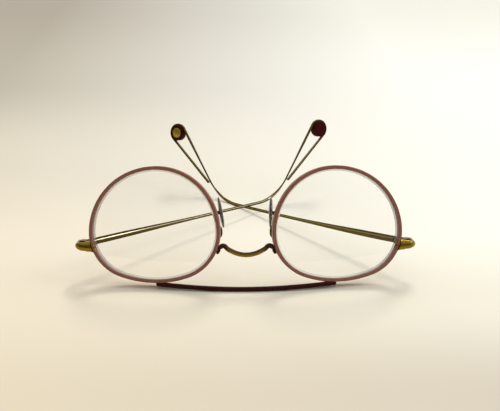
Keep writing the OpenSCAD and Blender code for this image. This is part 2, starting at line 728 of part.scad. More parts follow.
// The temple's frame: X along the temple, Y towards the nose, Z along the pin
function fold(side) = side < 0 ? fold_left : fold_right;
module temple_frame(side) {
    placed(side)
        hinge_frame()
            rotate([0, 0, 180 - fold(side)])
                children();
}
module lifted(side) {
    rotate([0, side * lift, 0])
        children();
}
module leaf_blank() {
    leaf_h = knuckle_l + 0.9;
    translate([0, -ribbon_t / 2 - leaf_t, -knuckle_l / 2])
        cube([root_s + 0.5, leaf_t, knuckle_l]);
    translate([root_s, -ribbon_t / 2, 0])
        rotate([90, 0, 0])
            linear_extrude(leaf_t) {
                translate([0, -leaf_h / 2])
                    square([leaf_l - leaf_h / 2 - root_s, leaf_h]);
                translate([leaf_l - leaf_h / 2 - root_s, 0])
                    circle(d = leaf_h);
            }
}
module rivet_hole(gap) {
    translate([rivet_s, 2, 0])
        rotate([90, 0, 0])
            cylinder(h = 4, d = rivet_d + 2 * gap);
}
module temple_joint(side) {
    color([0.78, 0.66, 0.4])
        temple_frame(side)
            difference() {
                union() {
                    knuckle(-knuckle_l / 2, knuckle_l / 2);
                    leaf_blank();
                }
                translate([0, 0, -barrel_l])
                    cylinder(h = 2 * barrel_l, r = pin_r + pin_gap);
                lifted(side)
                    rivet_hole(0.01);
            }
}
module rivet(side) {
    color([0.15, 0.12, 0.1])
        temple_frame(side)
            lifted(side)
                translate([rivet_s, ribbon_t / 2 + 0.12, 0])
                    rotate([90, 0, 0])
                        cylinder(h = ribbon_t + leaf_t + 0.2, d = rivet_d);
}

// Temple: a ribbon on edge that narrows, bends, twists flat, loops round the drum and comes back
function ribbon_ring(s) =
    let (n = [-sin(s[2]), 0, cos(s[2])], y = [0, 1, 0])
    let (wide = cos(s[3]) * n + sin(s[3]) * y, thin = cos(s[3]) * y - sin(s[3]) * n)
    let (w = s[4] / 2, t = ribbon_t / 2, c = ribbon_edge)
    let (pivot = [bend_end[0], 0, bend_end[1]])
    [for (q = [[w - c, t], [w, t - c], [w, -t + c], [w - c, -t], [-w + c, -t], [-w, -t + c], [-w, t - c], [-w + c, t]])
        pivot + about_hook([s[0], 0, s[1]] - pivot + q[0] * wide + q[1] * thin, s[5])];
module temple(side) {
    color([0.62, 0.5, 0.3])
        temple_frame(side)
            lifted(side)
                difference() {
                    skin([for (s = ribbon_line(side < 0 ? 0 : sag_right)) ribbon_ring(s)]);
                    rivet_hole(0.01);
                }
}

// Drum in the ribbon's loop, with a medallion let into one face: the same way round on both sides
module drum_frame(side) {
    temple_frame(side)
        lifted(side)
            translate([bend_end[0], 0, bend_end[1]])
                rotate([0, -bend, 0])
                    rotate([hook_turn, 0, 0])
                        translate([hook_l, 0, -loop_r])
                            rotate([side < 0 ? 90 : -90, 0, 0])
                                children();
}
module drum(side) {
    color([0.32, 0.08, 0.1])
        drum_frame(side)
            difference() {
                translate([0, 0, -drum_w / 2])
                    cylinder(h = drum_w, r = drum_r);
                translate([0, 0, drum_w / 2 - medal_seat])
                    cylinder(h = drum_w, d = medal_d + 0.04);
            }
}
module medallion(side) {
    color([0.75, 0.62, 0.3])
        drum_frame(side)
            translate([0, 0, drum_w / 2 - medal_seat]) {
                cylinder(h = medal_seat - 0.05, d = medal_d);
                cylinder(h = medal_seat + 0.1, d = medal_d - 0.8);
            }
}

// Nose pads: an arm from the rim's back, a fork, a screw, and a pad that rocks on it
module pad_seat() {
    translate([pad_x, pad_y, pad_h])
        rotate([0, 0, -pad_splay])
            rotate([0, pad_lean, 0])
                children();
}
module pad_frame(side) {
    placed(side)
        pad_seat()
            children();
}
module fork_block() {
    translate([0, -fork_out, -fork_h / 2])
        cube([fork_back, 2 * fork_out, fork_h]);
}
module pad_arm(side) {
    color([0.8, 0.68, 0.42])
        placed(side)
            difference() {
                wire(smooth(arm_knots, 5), arm_r, 10, [0.3, 0.2, 0.9]);
                rim_plane()
                    translate([-far / 2, -far / 2, -rim_depth])
                        cube(far);
                pad_seat()
                    fork_block();
            }
}
module rocked(side) {
    rotate([0, side < 0 ? pad_rock_left : pad_rock_right, 0])
        children();
}
module cross_rod(r, y0, y1) {
    translate([0, y1, 0])
        rotate([90, 0, 0])
            cylinder(h = y1 - y0, r = r);
}
module pad_fork(side) {
    color([0.12, 0.1, 0.1])
        pad_frame(side)
            difference() {
                union() {
                    fork_block();
                    cross_rod(fork_r, -fork_out, fork_out);
                }
                translate([-1, -fork_in, -fork_h])
                    cube([1 + fork_r, 2 * fork_in, 2 * fork_h]);
                cross_rod(pad_screw_r + 0.01, -2, 2);
            }
}
module pad_screw(side) {
    color([0.75, 0.65, 0.42])
        pad_frame(side)
            difference() {
                union() {
                    cross_rod(pad_screw_r, -fork_out - 0.1, fork_out);
                    cross_rod(pad_screw_r * 1.5, -fork_out - 0.3, -fork_out);
                }
                translate([-1, -fork_out - 0.31, -pad_slot / 2])
                    cube([2, pad_slot, pad_slot]);
            }
}
module core_blank() {
    translate([pad_off + plate_t / 2, 0, 0])
        rotate([0, -90, 0])
            linear_extrude(plate_t)
                for (z = [-1, 1])
                    union() {
                        translate([z * (plate_l - plate_w) / 2, 0])
                            circle(d = plate_w);
                        square([plate_l - plate_w, plate_w], center = true);
                    }
    translate([pad_off + 0.2, -tab_t / 2, -tab_r])
        cube([-pad_off - 0.2, tab_t, 2 * tab_r]);
    cross_rod(tab_r, -tab_t / 2, tab_t / 2);
}
module pad_core(side) {
    color([0.1, 0.08, 0.08])
        pad_frame(side)
            rocked(side)
                difference() {
                    core_blank();
                    cross_rod(pad_screw_r + pad_screw_gap, -2, 2);
                }
}
// The soft pad's surface: an oval cushion, as rings along its length
function cushion_ring(i) =
    let (a = -90 + 180 * i / pad_rings)
    let (k = pow(cos(a), 0.8))
    [for (j = [0 : pad_sides - 1])
        let (b = 360 * j / pad_sides)
        [pad_off + pad_t / 2 * k * cos(b), pad_w / 2 * k * sin(b), pad_l / 2 * sin(a)]];
module nose_pad(side) {
    color([0.85, 0.82, 0.78, 0.6])
        pad_frame(side)
            rocked(side)
                difference() {
                    skin([for (i = [1 : pad_rings - 1]) cushion_ring(i)]);
                    core_blank();
                }
}

rim(-1);  // rim_left
rim(1);  // rim_right
lens(-1);  // lens_left
lens(1);  // lens_right
brow_bar();
bridge();
end_piece(-1);  // end_piece_left
end_piece(1);  // end_piece_right
lock_half(-1, false);  // lock_brow_left
lock_half(1, false);  // lock_brow_right
lock_half(-1, true);  // lock_cheek_left
lock_half(1, true);  // lock_cheek_right
lock_screw(-1);  // lock_screw_left
lock_screw(1);  // lock_screw_right
hinge(-1);  // hinge_left
hinge(1);  // hinge_right
hinge_screw(-1);  // hinge_screw_left
hinge_screw(1);  // hinge_screw_right
temple_joint(-1);  // temple_joint_left
temple_joint(1);  // temple_joint_right
rivet(-1);  // rivet_left
rivet(1);  // rivet_right
temple(-1);  // temple_left
temple(1);  // temple_right
drum(-1);  // drum_left
drum(1);  // drum_right
medallion(-1);  // medallion_left
medallion(1);  // medallion_right
pad_arm(-1);  // pad_arm_left
pad_arm(1);  // pad_arm_right
pad_fork(-1);  // pad_fork_left
pad_fork(1);  // pad_fork_right
pad_screw(-1);  // pad_screw_left
pad_screw(1);  // pad_screw_right
pad_core(-1);  // pad_core_left
pad_core(1);  // pad_core_right
nose_pad(-1);  // nose_pad_left
nose_pad(1);  // nose_pad_right
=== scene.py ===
import math

import bmesh
import bpy
from mathutils import Matrix, Vector


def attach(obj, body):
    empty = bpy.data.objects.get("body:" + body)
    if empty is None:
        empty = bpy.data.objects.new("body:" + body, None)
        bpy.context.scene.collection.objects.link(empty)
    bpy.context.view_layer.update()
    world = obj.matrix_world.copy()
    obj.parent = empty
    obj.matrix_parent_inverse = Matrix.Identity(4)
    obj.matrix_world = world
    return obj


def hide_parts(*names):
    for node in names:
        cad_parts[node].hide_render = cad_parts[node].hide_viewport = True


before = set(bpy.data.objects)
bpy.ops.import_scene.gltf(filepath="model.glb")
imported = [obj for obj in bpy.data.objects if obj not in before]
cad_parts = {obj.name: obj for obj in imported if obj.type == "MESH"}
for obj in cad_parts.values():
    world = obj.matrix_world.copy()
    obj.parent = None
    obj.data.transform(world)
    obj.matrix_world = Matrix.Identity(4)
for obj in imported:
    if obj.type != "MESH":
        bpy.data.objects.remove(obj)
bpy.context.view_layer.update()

# Camera: held low in front of the frame and looking down at it. The view is worked out for a
# picture of 500 by 411.
EYE = Vector((-0.006457, -0.289707, 0.168319))
VIEW = Vector((0.02397, 0.91032, -0.4132)).normalized()
ROLL = 0.306
FOCAL_PX, PICTURE_W, SENSOR_W, CLIP_START = 849.94, 500, 36.0, 0.01


def aim(eye, view, roll):
    """The place of a camera at eye that looks along view and is rolled by degrees."""
    across = view.cross(Vector((0, 0, 1))).normalized()
    up = across.cross(view)
    a = math.radians(roll)
    side = across * math.cos(a) + up * math.sin(a)
    top = up * math.cos(a) - across * math.sin(a)
    place = Matrix((side, top, -view)).transposed().to_4x4()
    place.translation = eye
    return place


camera = bpy.data.objects.new("camera", bpy.data.cameras.new("camera"))
bpy.context.scene.collection.objects.link(camera)
camera.matrix_world = aim(EYE, VIEW, ROLL)
camera.data.sensor_width = SENSOR_W
camera.data.sensor_fit = "HORIZONTAL"
camera.data.lens = FOCAL_PX / PICTURE_W * SENSOR_W
camera.data.clip_start = CLIP_START
bpy.context.scene.camera = camera
bpy.context.scene.view_settings.view_transform = "Standard"

# Table: a pale surface, warm at the front and left and nearly white behind on the right. It is one
# flat sheet, with the light's fall and shade across it painted into its colour.
TABLE_SIZE = 4.0
SHADES_NEAR, SHADES_FAR, SHADES_LEFT, SHADES_RIGHT = -0.07, 0.55, -0.17, 0.12


def linear(code):
    """An sRGB hex colour as linear red, green, blue and alpha."""
    channels = [int(code[i:i + 2], 16) / 255 for i in (1, 3, 5)]
    return [v / 12.92 if v <= 0.04045 else ((v + 0.055) / 1.055) ** 2.4 for v in channels] + [1.0]


def add(tree, kind, values=None, links=None, shades=None, **settings):
    """Adds a node, with its settings, its sockets' values, links from other nodes' outputs and, on
    a colour ramp, its shades [(position, hex colour)]."""
    made = tree.nodes.new(kind)
    for key, value in settings.items():
        setattr(made, key, value)
    for key, value in (values or {}).items():
        made.inputs[key].default_value = value
    for key, source in (links or {}).items():
        tree.links.new(source, made.inputs[key])
    if shades:
        band = made.color_ramp
        band.interpolation = "EASE"
        while len(band.elements) < len(shades):
            band.elements.new(0.5)
        for element, (position, code) in zip(band.elements, shades):
            element.position = position
            element.color = linear(code)
    return made


def new_material(name):
    """An empty material and its node tree."""
    material = bpy.data.materials.new(name)
    material.use_nodes = True
    material.node_tree.nodes.clear()
    return material, material.node_tree


# Matt paint without reflection; its tone drifts across the table as painted light and shade.
table_tone_and_painted_light, tree = new_material("matt_table_with_painted_light")
place = add(tree, "ShaderNodeTexCoord").outputs["Object"]
axes = add(tree, "ShaderNodeSeparateXYZ", links={"Vector": place})
depth = add(tree, "ShaderNodeMapRange", {"From Min": SHADES_NEAR, "From Max": SHADES_FAR},
            {"Value": axes.outputs["Y"]})
across = add(tree, "ShaderNodeMapRange", {"From Min": SHADES_LEFT, "From Max": SHADES_RIGHT},
             {"Value": axes.outputs["X"]})
# The ramps paint the light: nearly white behind on the right, greyer behind on the left, warm in front.
left = add(tree, "ShaderNodeValToRGB", links={"Fac": depth.outputs["Result"]}, shades=[
    (0.0, "#F0E3C8"), (0.15, "#F5E8D1"), (0.34, "#E1D8C6"), (0.59, "#C1BBAB"), (1.0, "#B7AEA2")])
right = add(tree, "ShaderNodeValToRGB", links={"Fac": depth.outputs["Result"]}, shades=[
    (0.0, "#D5CEC1"), (0.1, "#F2F0E2"), (0.2, "#FFFFF6"), (0.59, "#FFFFFB"), (1.0, "#F4F6EE")])
paint = add(tree, "ShaderNodeMix", {}, {
    0: across.outputs["Result"], 6: left.outputs["Color"], 7: right.outputs["Color"]}, data_type="RGBA")
shader = add(tree, "ShaderNodeBsdfPrincipled", {"Roughness": 0.7, "Specular IOR Level": 0.1},
             {"Base Color": paint.outputs[2]})
add(tree, "ShaderNodeOutputMaterial", links={"Surface": shader.outputs["BSDF"]})

mesh = bpy.data.meshes.new("table")
half = TABLE_SIZE / 2
corners = [(-half, -half, 0), (half, -half, 0), (half, half, 0), (-half, half, 0)]
mesh.from_pydata(corners, [], [(0, 1, 2, 3)])
table = bpy.data.objects.new("table", mesh)
bpy.context.scene.collection.objects.link(table)
mesh.materials.append(table_tone_and_painted_light)

# Light: a large soft lamp behind and above, so that shadows fall towards the viewer, and a window
# to the right that draws the bright lines on the metal. The room is pale behind and above and
# darker where the viewer stands.
LAMP_FROM, LAMP_ANGLE, LAMP_POWER = Vector((0.19, 0.89, 1.0)), 16.0, 1.1
WINDOW_FROM, WINDOW_AWAY, WINDOW_SIZE, WINDOW_POWER = Vector((0.77, 0.04, 0.64)), 0.8, 0.36, 1.1
FRAME_MIDDLE = Vector((0, 0.04, 0.015))
ROOM_DARK, ROOM_PALE, PALE_SIDE, DARK_TO, PALE_FROM = 0.12, 0.85, (0.4, 0.55, 0.73), -0.45, 0.75

lamp = bpy.data.objects.new("lamp", bpy.data.lights.new("lamp", "SUN"))
bpy.context.scene.collection.objects.link(lamp)
lamp.rotation_euler = LAMP_FROM.to_track_quat("Z", "Y").to_euler()
lamp.data.angle = math.radians(LAMP_ANGLE)
lamp.data.energy = LAMP_POWER
lamp.data.color = linear("#FFF8EC")[:3]

window = bpy.data.objects.new("window", bpy.data.lights.new("window", "AREA"))
bpy.context.scene.collection.objects.link(window)
window.location = FRAME_MIDDLE + WINDOW_FROM * WINDOW_AWAY
window.rotation_euler = WINDOW_FROM.to_track_quat("Z", "Y").to_euler()
window.data.size = WINDOW_SIZE
window.data.energy = WINDOW_POWER

world = bpy.data.worlds.new("room")
bpy.context.scene.world = world
world.use_nodes = True
tree = world.node_tree
tree.nodes.clear()
towards = add(tree, "ShaderNodeTexCoord").outputs["Generated"]
pale_side = add(tree, "ShaderNodeVectorMath", {1: PALE_SIDE}, {0: towards}, operation="DOT_PRODUCT")
glow = add(tree, "ShaderNodeMapRange",
           {"From Min": DARK_TO, "From Max": PALE_FROM, "To Min": ROOM_DARK, "To Max": ROOM_PALE},
           {"Value": pale_side.outputs["Value"]}, interpolation_type="SMOOTHSTEP")
sky = add(tree, "ShaderNodeBackground", {"Color": linear("#FFFEFA")}, {"Strength": glow.outputs["Result"]})
add(tree, "ShaderNodeOutputWorld", links={"Surface": sky.outputs["Background"]})

# Rims: two round wires of nickel silver with a shallow enamel inlay on the front face. A rim is
# one wire, bent to the lens and cut at the closing block.
RIM_W, RIM_H, NOSE_GAP, RIM_WAIST, CROWN_SHIFT = 51.8, 45.9, 20.6, 19.7, 0.75
CHEEK_TURN, NOSE_TURN, BROW_TURN = 60, 33, 70.5
RIM_FACE, RIM_DEPTH, RIM_EDGE, GROOVE, RIM_SKIN = 1.4, 4.0, 0.3, 0.5, 0.1
BAR_D, BAR_RISE, BAR_SEAT, BAR_FLAT, RIM_SET = 1.9, 2.1, 0.3, 0.12, 1.35
LOCK_DROP, LOCK_H = 5.65, 4.3
WRAP, LEAN = 5, 20.899464
MM = 0.001
SIDES = {"left": -1, "right": 1}


def turn(axis, degrees):
    return Matrix.Rotation(math.radians(degrees), 4, axis)


def cos(degrees):
    return math.cos(math.radians(degrees))


def sin(degrees):
    return math.sin(math.radians(degrees))


# Lengths are in millimetres, and the front has its own frame: x across, y back and z from the brow
# to the cheek. It stands on its bar and leans back until one temple's bend touches the table; its
# LEAN and the temples' LIFT are solved for that in the part's source.
stand = Matrix.Translation((0, 0, BAR_D / 2 - BAR_FLAT)) @ turn("X", -LEAN)
MIRROR = {-1: Matrix.Diagonal((-1, 1, 1, 1)), 1: Matrix.Identity(4)}

rim_brow = BAR_RISE + BAR_SEAT
rim_in = NOSE_GAP / 2 / cos(WRAP)
rim_out = rim_in + RIM_W
crown_x = (rim_in + rim_out) / 2 - CROWN_SHIFT
waist = rim_brow + RIM_WAIST
face_y = RIM_SET - crown_x * sin(WRAP)
reach_out, reach_in, cheek_reach = rim_out - crown_x, crown_x - rim_in, rim_brow + RIM_H - waist


def quarter(side_x, side_y, wide, tall, meet):
    """The side arc and the crown arc of a quarter of the outline: centre and radius of each. They
    meet where the outline has turned by this many degrees from the waist."""
    k = (wide - tall) / (1 - cos(meet) - sin(meet))
    side_r, crown_r = wide + k * cos(meet), tall - k * sin(meet)
    side_arc = (crown_x + side_x * (wide - side_r), waist), side_r
    crown_arc = (crown_x, waist + side_y * (tall - crown_r)), crown_r
    return side_arc, crown_arc


out_cheek, out_crown = quarter(1, 1, reach_out, cheek_reach, CHEEK_TURN)
in_cheek, in_crown = quarter(-1, 1, reach_in, cheek_reach, NOSE_TURN)
in_brow, in_brow_crown = quarter(-1, -1, reach_in, RIM_WAIST, BROW_TURN)
out_brow, out_brow_crown = quarter(1, -1, reach_out, RIM_WAIST, BROW_TURN)
outline = [
    (out_cheek, 0, CHEEK_TURN), (out_crown, CHEEK_TURN, 90), (in_crown, 90, 180 - NOSE_TURN),
    (in_cheek, 180 - NOSE_TURN, 180), (in_brow, 180, 180 + BROW_TURN),
    (in_brow_crown, 180 + BROW_TURN, 270), (out_brow_crown, 270, 360 - BROW_TURN)]

# The rim's wire begins and ends where it meets the closing block, on the brow side's arc.
(brow_side_x, brow_side_h), brow_side_r = out_brow
lock_mid = waist - LOCK_DROP
lock_from = math.degrees(math.asin((lock_mid - LOCK_H / 2 - brow_side_h) / brow_side_r))
lock_to = math.degrees(math.asin((lock_mid + LOCK_H / 2 - brow_side_h) / brow_side_r))


def trail(arcs, step):
    """Points along arcs, a step apart in millimetres: place and outward direction."""
    points = []
    for ((cx, cy), r), first, last in arcs:
        n = max(2, round(r * math.radians(last - first) / step))
        for i in range(1 if points else 0, n + 1):
            a = first + (last - first) * i / n
            points.append((cx + r * cos(a), cy + r * sin(a), cos(a), sin(a)))
    return points


def plane(x, y, back):
    """A place in the rim's plane, at a depth behind its face, in the front's frame."""
    return Vector((x * cos(WRAP) - back * sin(WRAP), face_y + x * sin(WRAP) + back * cos(WRAP), y))


def inward(p, depth_in, back):
    """A place this far inside a point of the outline."""
    return plane(p[0] - depth_in * p[2], p[1] - depth_in * p[3], back)


def rounded(corners, steps):
    """A closed outline with its corners rounded: corners are (x, y, radius)."""
    n, points = len(corners), []
    for i, (x, y, r) in enumerate(corners):
        p = Vector((x, y))
        if not r:
            points.append(p)
            continue
        a = (Vector(corners[i - 1][:2]) - p).normalized()
        b = (Vector(corners[(i + 1) % n][:2]) - p).normalized()
        half_turn = a.angle(b) / 2
        reach = r / math.tan(half_turn)
        centre = p + (a + b).normalized() * r / math.sin(half_turn)
        start, end = p + a * reach - centre, p + b * reach - centre
        sweep = start.angle_signed(end)
        for s in range(steps + 1):
            t = sweep * s / steps
            points.append(centre + Matrix.Rotation(-t, 2) @ start)
    return points


def skin(name, rings, place, body, materials, paint=None, sharp=40):
    """A smooth solid over rings of points in millimetres, riding on a body. The paint says which
    material each strip along the rings has."""
    n = len(rings[0])
    paint = paint or [0] * n
    shape = bmesh.new()
    verts = [shape.verts.new((place @ Vector(p)) * MM) for ring in rings for p in ring]
    for a in range(0, len(verts) - n, n):
        for j in range(n):
            k = (j + 1) % n
            face = shape.faces.new((verts[a + j], verts[a + n + j], verts[a + n + k], verts[a + k]))
            face.material_index = paint[j]
    for end in (verts[:n], verts[-n:]):
        shape.faces.new(end).material_index = paint[0]
    bmesh.ops.recalc_face_normals(shape, faces=shape.faces)
    mesh = bpy.data.meshes.new(name)
    shape.to_mesh(mesh)
    shape.free()
    mesh.shade_smooth()
    mesh.set_sharp_from_angle(angle=math.radians(sharp))
    for material in materials:
        mesh.materials.append(material)
    piece = bpy.data.objects.new(name, mesh)
    bpy.context.scene.collection.objects.link(piece)
    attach(piece, body)
    return piece


def grain(tree, size_mm, strength, height_mm, stretch=(1, 1, 1)):
    """A fine cloud whose grains are size_mm across, and its bump. Real peel, grit and brush lines
    are finer than a picture shows, so each is drawn as coarse as it needs to be to show."""
    at = add(tree, "ShaderNodeTexCoord").outputs["Object"]
    drawn = add(tree, "ShaderNodeMapping", {"Scale": stretch}, {"Vector": at})
    noise = add(tree, "ShaderNodeTexNoise", {"Scale": 1 / (size_mm * MM)},
                {"Vector": drawn.outputs["Vector"]})
    bump = add(tree, "ShaderNodeBump", {"Strength": strength, "Distance": height_mm * MM},
               {"Height": noise.outputs["Fac"]})
    return noise.outputs["Fac"], bump.outputs["Normal"]


def grained(tree, cloud, bump, tints, gloss, spread=(0.3, 0.7)):
    """A surface whose colour drifts between two tints as the cloud does."""
    tint = add(tree, "ShaderNodeValToRGB", links={"Fac": cloud}, shades=list(zip(spread, tints)))
    surface = add(tree, "ShaderNodeBsdfPrincipled", gloss,
                  {"Base Color": tint.outputs["Color"], "Normal": bump})
    return surface.outputs["BSDF"]


def finish(name, tints, grit, gloss, spread=(0.3, 0.7)):
    """A material of one grained surface; the grit is its grain's size, strength and height."""
    material, tree = new_material(name)
    cloud, bump = grain(tree, *grit)
    surface = grained(tree, cloud, bump, tints, gloss, spread)
    add(tree, "ShaderNodeOutputMaterial", links={"Surface": surface})
    return material


# Fired enamel, rose brown: even and slightly orange-peeled, on the front face and round the
# outside of the rim.
ROSE = ("#885748", "#996A59")
ENAMEL_GRIT, ENAMEL_GLOSS = (0.5, 0.25, 0.01), {"Roughness": 0.42, "Specular IOR Level": 0.25}
rose_enamel = finish("fired_rose_brown_enamel", ROSE, ENAMEL_GRIT, ENAMEL_GLOSS)

# Rose-tinted nickel silver, drawn wire, lightly brushed along the rim's inner wall and back. Its pale
# lilac grey is partly the metal's tint and partly a painted reflection of the bright room.
nickel_with_painted_reflection = finish("rose_nickel_silver_with_painted_reflection", ("#8E7A78", "#A08C89"), (0.3, 0.3, 0.008, (1, 6, 1)),
                      {"Metallic": 0.3, "Roughness": 0.45, "Specular IOR Level": 0.25})

rim_section = rounded([
    (0, 0, RIM_EDGE), (0, RIM_DEPTH, RIM_EDGE), (RIM_FACE, RIM_DEPTH, RIM_EDGE),
    (RIM_FACE, RIM_DEPTH / 2 + GROOVE, 0), (RIM_FACE - GROOVE, RIM_DEPTH / 2, 0),
    (RIM_FACE, RIM_DEPTH / 2 - GROOVE, 0), (RIM_FACE, 0, RIM_EDGE)], steps=4)


def rim_paint():
    """Enamel on the front face, its edges and the outer wall; elsewhere bare metal and painted reflection.
    """
    paint = []
    for j, p in enumerate(rim_section):
        mid = (p + rim_section[(j + 1) % len(rim_section)]) / 2
        enamelled = mid.y < RIM_EDGE or (mid.x < RIM_SKIN and mid.y < RIM_DEPTH - RIM_EDGE)
        paint.append(0 if enamelled else 1)
    return paint


wire_run = [(out_brow, 360 + lock_to, 360)] + outline + [(out_brow, 360 - BROW_TURN, 360 + lock_from)]
rings = [[inward(p, q[0], q[1]) for q in rim_section] for p in trail(wire_run, step=0.6)]
for name, side in SIDES.items():
    rim = skin(f"rim_wire_{name}", rings, stand @ MIRROR[side], "front",
               [rose_enamel, nickel_with_painted_reflection], rim_paint())
    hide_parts(f"rim_{name}")

# Lenses: clear domed lenses, plain in power, with a bevelled edge in the rim's groove and a thin
# anti-reflection coat.
LENS_T, DOME_R, LENS_GAP, CHAMFER_DEPTH, GROOVE_FILL = 2.0, 120.0, 0.03, 0.5, 0.9
LENS_STEPS = [0.02, 0.08, 0.16, 0.25, 0.35, 0.45, 0.55, 0.65, 0.75, 0.85, 0.965, 1.0]
FROST_GRIT, FROST_COVER, WALL_REFLECTION_FROM, WALL_REFLECTION_FULL = (0.1, 0.3, 0.005), 0.6, 0.042, 0.058

# Polished and coated: perfectly clear, with a faint reflection. Light that falls on other pieces
# goes straight through.
lens_glass, tree = new_material("coated_clear_lens")
glass = add(tree, "ShaderNodeBsdfPrincipled", {
    "Base Color": linear("#FFFFFF"), "Transmission Weight": 1.0, "Roughness": 0.0, "IOR": 1.5,
    "Specular IOR Level": 0.2})
clear = add(tree, "ShaderNodeBsdfTransparent", {"Color": linear("#FDFDFD")})
ray = add(tree, "ShaderNodeLightPath")
through = add(tree, "ShaderNodeMath", {}, {
    0: ray.outputs["Is Shadow Ray"], 1: ray.outputs["Is Diffuse Ray"]}, operation="MAXIMUM")
mix = add(tree, "ShaderNodeMixShader", {}, {
    0: through.outputs[0], 1: glass.outputs["BSDF"], 2: clear.outputs["BSDF"]})
add(tree, "ShaderNodeOutputMaterial", links={"Surface": mix.outputs["Shader"]})

# The lens's edge is ground matt and painted in the rim's colour, a painted reflection of the rim; the
# small bevel round its back is ground too, with painted reflections: pale beside the nose and rosy at
# the temples, where the rim's wall lies behind it.
ground_edge_painted_reflection = finish("matt_lens_edge_with_painted_reflection", ("#8E7977", "#9D8885"), FROST_GRIT,
                     {"Roughness": 0.7, "Specular IOR Level": 0.2})

ground_bevel_painted_reflections, tree = new_material("matt_lens_bevel_with_painted_reflections")
cloud, frost = grain(tree, *FROST_GRIT)
at = add(tree, "ShaderNodeTexCoord")
axes = add(tree, "ShaderNodeSeparateXYZ", links={"Vector": at.outputs["Object"]})
# The tint across |x| paints the reflections: pale beside the nose, the rim wall's rose at the temples.
aside = add(tree, "ShaderNodeMath", {}, {0: axes.outputs["X"]}, operation="ABSOLUTE")
outer = add(tree, "ShaderNodeMapRange", {"From Min": WALL_REFLECTION_FROM, "From Max": WALL_REFLECTION_FULL},
            {"Value": aside.outputs[0]})
pale = add(tree, "ShaderNodeValToRGB", links={"Fac": cloud}, shades=[(0.3, "#F6F2EA"), (0.7, "#FFFCF6")])
rosy = add(tree, "ShaderNodeValToRGB", links={"Fac": cloud}, shades=[(0.3, "#A8948E"), (0.7, "#B8A49E")])
tint = add(tree, "ShaderNodeMix", {}, {
    0: outer.outputs["Result"], 6: pale.outputs["Color"], 7: rosy.outputs["Color"]}, data_type="RGBA")
matt = add(tree, "ShaderNodeBsdfPrincipled", {"Roughness": 0.8, "Specular IOR Level": 0.1},
           {"Base Color": tint.outputs[2], "Normal": frost})
clear = add(tree, "ShaderNodeBsdfTransparent", {"Color": linear("#FDFDFD")})
mix = add(tree, "ShaderNodeMixShader", {0: FROST_COVER},
          {1: clear.outputs["BSDF"], 2: matt.outputs["BSDF"]})
add(tree, "ShaderNodeOutputMaterial", links={"Surface": mix.outputs["Shader"]})


def dome(away):
    """How far the lens's surface falls back at this distance from its middle."""
    return DOME_R - math.sqrt(DOME_R ** 2 - away ** 2)


lens_mid = Vector(((rim_in + rim_out) / 2, rim_brow + RIM_H / 2))
lens_top = RIM_DEPTH / 2 - LENS_T / 2 - dome((RIM_W + RIM_H) / 4 - RIM_FACE)
lens_trail = trail(outline + [(out_brow, 360 - BROW_TURN, 360)], step=0.9)[1:]
lens_in = RIM_FACE + LENS_GAP


def lens_ring(k, back):
    """A ring of the lens's surface at the share k of the way to its edge."""
    ring = []
    for p in lens_trail:
        edge = Vector((p[0] - lens_in * p[2], p[1] - lens_in * p[3]))
        q = lens_mid + (edge - lens_mid) * k
        ring.append(plane(q.x, q.y, lens_top + dome((q - lens_mid).length) + back))
    return ring


bevel = GROOVE * GROOVE_FILL
edge_cuts = [(0, -bevel), (bevel, 0), (0, bevel)]
rings = [lens_ring(k, 0) for k in LENS_STEPS]
rings += [[inward(p, lens_in - cut, RIM_DEPTH / 2 + back) for p in lens_trail] for cut, back in edge_cuts]
rings += [lens_ring(1, LENS_T - CHAMFER_DEPTH)]
rings += [lens_ring(k, LENS_T) for k in reversed(LENS_STEPS[:-1])]

# The faces lie in rows: the front's, the ground edge's, one of the bevel and the back's.
edge_row = len(LENS_STEPS) - 1
bevel_row = edge_row + len(edge_cuts) + 1
for name, side in SIDES.items():
    lens = skin(f"clear_lens_{name}", rings, stand @ MIRROR[side], "front",
                [lens_glass, ground_edge_painted_reflection, ground_bevel_painted_reflections], sharp=12)
    for face in lens.data.polygons:
        row = face.index // len(lens_trail)
        face.material_index = 1 if edge_row <= row < bevel_row else 2 if row == bevel_row else 0
    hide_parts(f"lens_{name}")

# Brow bar: one arched rod, enamelled dark red and soldered under both rims. It is flat in the
# middle, where the frame stands on it.
BAR_BOW, BAR_SHORT, BAR_STEPS = 1.95, 0.95, 60
TIP_FLAT, TIP_TURNS = 0.08, (0, 15, 30, 45, 60, 75, 90)

# Fired enamel again, of a red so dark that it is nearly black out of the light.
dark_enamel = finish("fired_dark_red_enamel", ("#2A0603", "#3A0C07"), (0.6, 0.2, 0.01),
                     {"Roughness": 0.42, "Specular IOR Level": 0.12})


def circle(sides):
    """The angles of points evenly round a circle."""
    return [360 * j / sides for j in range(sides)]


def tube(line, radius, sides, lean_on):
    """Rings round a line of points, with rounded ends; lean_on is never along the line."""
    rings, n = [], len(line)
    for i, p in enumerate(line):
        t = (line[min(n - 1, i + 1)] - line[max(0, i - 1)]).normalized()
        u = t.cross(lean_on).normalized()
        v = t.cross(u)
        stations = [(0.0, 1.0)]
        if i in (0, n - 1):
            grow = [(-cos(a), TIP_FLAT + (1 - TIP_FLAT) * sin(a)) for a in TIP_TURNS]
            stations = grow if i == 0 else [(-g, k) for g, k in reversed(grow)]
        for along, k in stations:
            middle, r = p + t * along * radius, radius * k
            rings.append([middle + r * (cos(a) * u + sin(a) * v) for a in circle(sides)])
    return rings


def clear_of(point, arc, low=-math.inf, high=math.inf):
    """Pushes a point of the front's frame out of the rim whose edge is this arc."""
    (cx, cy), r = arc
    x = point.x * cos(WRAP) + (point.y - face_y) * sin(WRAP)
    back = (point.y - face_y) * cos(WRAP) - point.x * sin(WRAP)
    away = Vector((x - cx, point.z - cy))
    if away.length < r and low < x < high:
        away *= r / away.length
        return plane(cx + away.x, cy + away.y, back)
    return point


